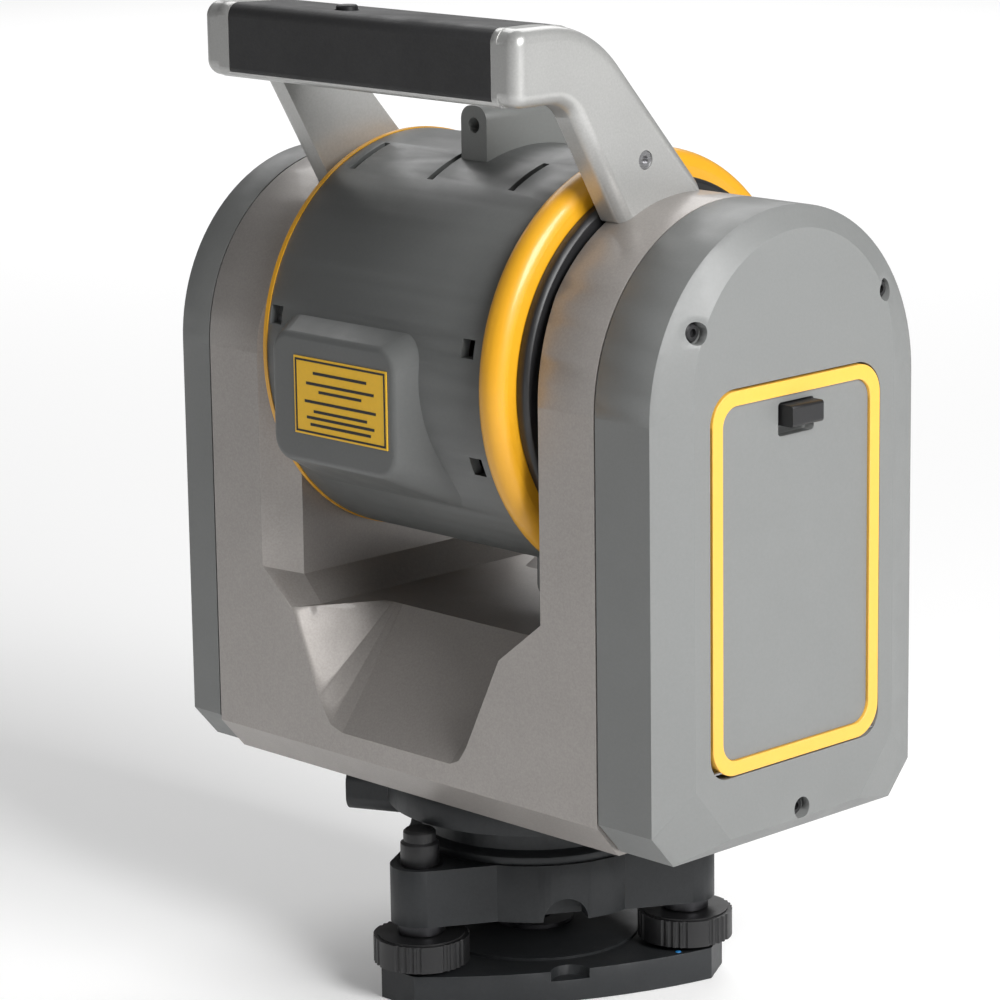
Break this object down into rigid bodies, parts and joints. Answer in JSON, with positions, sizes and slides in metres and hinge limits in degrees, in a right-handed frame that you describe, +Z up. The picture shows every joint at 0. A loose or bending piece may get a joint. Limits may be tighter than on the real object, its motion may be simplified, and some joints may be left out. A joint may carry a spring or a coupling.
{
  "type": "terrestrial laser scanner",
  "caption": "Scanning total station: a tilting laser head between the arms of a turning yoke, with a carrying handle, on a three-screw levelling base.",
  "frame": {"origin": "centre of the tripod thread at the underside of the base plate, on the vertical turning axis", "axes": "+Z up along the vertical turning axis; +X along the tilt axis towards the battery side; -Y towards the operator, the side with the label; +Y the sighting direction, the side with the lens"},
  "size_m": [0.2756, 0.178, 0.387],
  "materials": {
    "yoke_paint": "satin silver-beige metallic paint",
    "cover_grey": "satin mid-grey moulded plastic",
    "head_grey": "satin dark grey moulded plastic",
    "yellow": "glossy safety yellow",
    "door_yellow": "satin yellow",
    "black_plastic": "satin black moulded plastic",
    "handle_silver": "satin light silver paint",
    "grip_rubber": "fine-grained black rubber",
    "seal_rubber": "black rubber",
    "tribrach_paint": "charcoal anodised casting",
    "base_plastic": "black anodised casting",
    "steel": "ground steel",
    "dark_steel": "blackened steel",
    "nickel": "nickel-plated",
    "brass": "turned brass",
    "alloy": "machined aluminium",
    "lens_glass": "coated glass",
    "vial_glass": "tinted glass",
    "board_green": "solder mask",
    "battery_case": "dark moulded case"
  },
  "bodies": {
    "tribrach": {"base_plate": "tribrach_paint", "thread_bush": "dark_steel", "spring_plate": "base_plastic", "tribrach_plate": "tribrach_paint", "foot_screw_sleeves": "dark_steel", "foot_screw_caps": "black_plastic", "vial_housing": "black_plastic", "bubble_vial": "vial_glass", "instrument_base": "base_plastic", "base_clamp_screw": "nickel", "vertical_spindle": "steel", "pan_motor_rotor": "alloy"},
    "foot_screw_a": {"foot_knob_a": "black_plastic", "foot_spindle_a": "steel"},
    "foot_screw_b": {"foot_knob_b": "black_plastic", "foot_spindle_b": "steel"},
    "foot_screw_c": {"foot_knob_c": "black_plastic", "foot_spindle_c": "steel"},
    "clamp_knob": {"clamp_knob": "black_plastic"},
    "locking_ring": {"locking_ring": "steel"},
    "alidade": {"yoke_frame": "yoke_paint", "left_cover": "cover_grey", "right_cover": "cover_grey", "cover_gaskets": "seal_rubber", "cover_screws": "steel", "handle_frame": "handle_silver", "handle_grip": "grip_rubber", "handle_screws": "steel", "axle_bearings": "steel", "axle_seal": "seal_rubber", "pan_motor_stator": "alloy", "tilt_motor_stator": "alloy", "main_board": "board_green", "battery_bay": "battery_case", "battery_pack": "battery_case", "battery_contacts": "brass"},
    "scan_head": {"head_rear_shell": "head_grey", "head_front_shell": "head_grey", "accent_ring": "yellow", "bumper_ring": "yellow", "end_disc": "black_plastic", "trunnion_left": "alloy", "trunnion_right": "alloy", "tilt_motor_rotor": "alloy", "tilt_encoder_disc": "lens_glass", "top_sight": "head_grey", "lower_lug": "head_grey", "label_plate": "yellow", "lens_barrel": "black_plastic", "front_lens": "lens_glass", "camera_windows": "lens_glass", "scan_motor_housing": "alloy", "laser_module": "alloy", "optics_bracket": "alloy"},
    "scan_prism": {"scan_prism_rotor": "alloy"},
    "battery_door": {"door_frame": "door_yellow", "door_panel": "cover_grey", "door_hinge_pin": "steel"},
    "door_latch": {"door_latch": "black_plastic"},
    "power_button": {"power_button": "black_plastic"}
  },
  "joints": [
    {"name": "alidade_turn", "type": "hinge", "parent": "tribrach", "child": "alidade", "pos_m": [0, 0, 0.08], "axis": [0, 0, 1], "continuous": true},
    {"name": "head_tilt", "type": "hinge", "parent": "alidade", "child": "scan_head", "pos_m": [0, 0, 0.25], "axis": [1, 0, 0], "continuous": true},
    {"name": "prism_spin", "type": "hinge", "parent": "scan_head", "child": "scan_prism", "pos_m": [-0.003, 0, 0.25], "axis": [0, 1, 0], "continuous": true},
    {"name": "door_open", "type": "hinge", "parent": "alidade", "child": "battery_door", "pos_m": [0.1391, 0, 0.1146], "axis": [0, 1, 0], "range_deg": [0, 100]},
    {"name": "latch_slide", "type": "slide", "parent": "battery_door", "child": "door_latch", "axis": [0, 0, -1], "range_m": [0, 0.003], "stiffness_N_per_m": 300, "springref_m": -0.002},
    {"name": "button_press", "type": "slide", "parent": "alidade", "child": "power_button", "axis": [0, 0, -1], "range_m": [0, 0.001], "stiffness_N_per_m": 800, "springref_m": -0.0005},
    {"name": "foot_screw_a_turn", "type": "hinge", "parent": "tribrach", "child": "foot_screw_a", "pos_m": [0.05369, 0.031, 0.02], "axis": [0, 0, 1], "range_deg": [-1080, 1080]},
    {"name": "foot_screw_b_turn", "type": "hinge", "parent": "tribrach", "child": "foot_screw_b", "pos_m": [-0.05369, 0.031, 0.02], "axis": [0, 0, 1], "range_deg": [-1080, 1080]},
    {"name": "foot_screw_c_turn", "type": "hinge", "parent": "tribrach", "child": "foot_screw_c", "pos_m": [0, -0.062, 0.02], "axis": [0, 0, 1], "range_deg": [-1080, 1080]},
    {"name": "clamp_turn", "type": "hinge", "parent": "tribrach", "child": "clamp_knob", "pos_m": [-0.01915, 0.05262, 0.0425], "axis": [-0.342, 0.9397, 0], "range_deg": [0, 180]},
    {"name": "locking_ring_turn", "type": "hinge", "parent": "tribrach", "child": "locking_ring", "pos_m": [0, 0, 0.0385], "axis": [0, 0, 1], "range_deg": [0, 20.5]}
  ],
  "couplings": [
    {"joint": "locking_ring_turn", "follows": "clamp_turn", "ratio": 0.1111}
  ]
}
